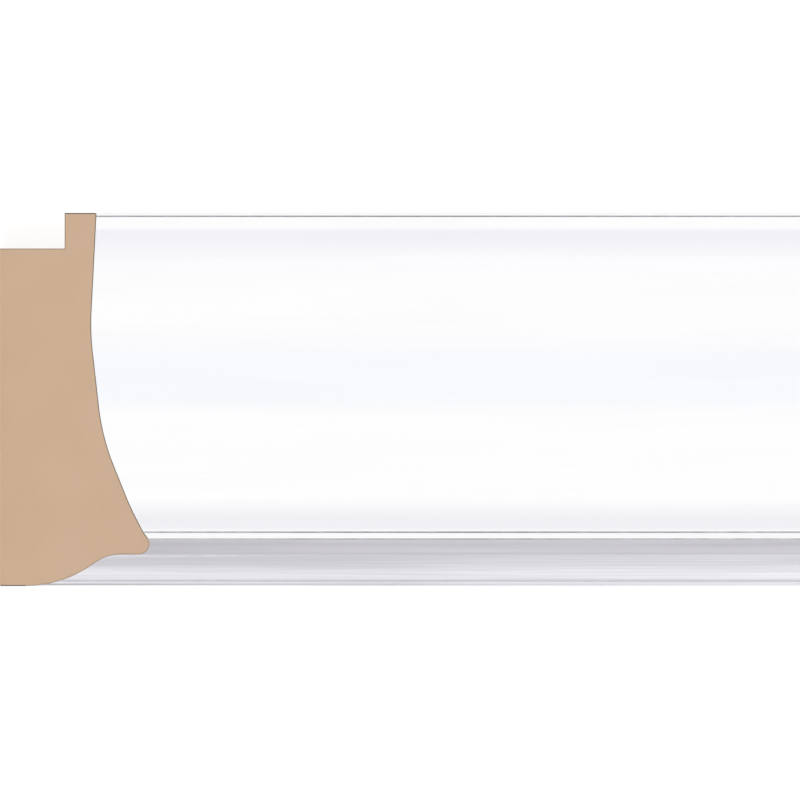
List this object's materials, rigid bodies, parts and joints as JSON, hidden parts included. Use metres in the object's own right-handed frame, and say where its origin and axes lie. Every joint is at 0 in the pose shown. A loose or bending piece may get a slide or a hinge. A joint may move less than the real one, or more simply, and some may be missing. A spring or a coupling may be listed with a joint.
{
  "type": "picture frame moulding",
  "caption": "Straight stick of white lacquered picture frame moulding with a scooped face, a beaded outer edge, an ogee side and a rabbet for glass and picture.",
  "frame": {"origin": "middle of the flat back, halfway along the stick and halfway across it", "axes": "+X along the stick, +Z from the flat back to the face, -Y towards the sight edge and its rabbet, +Y towards the outer edge with the bead"},
  "size_m": [1.219, 0.0666, 0.027],
  "materials": {
    "lacquered_wood": "satin"
  },
  "bodies": {
    "root": {"moulding": "lacquered_wood"}
  },
  "joints": []
}
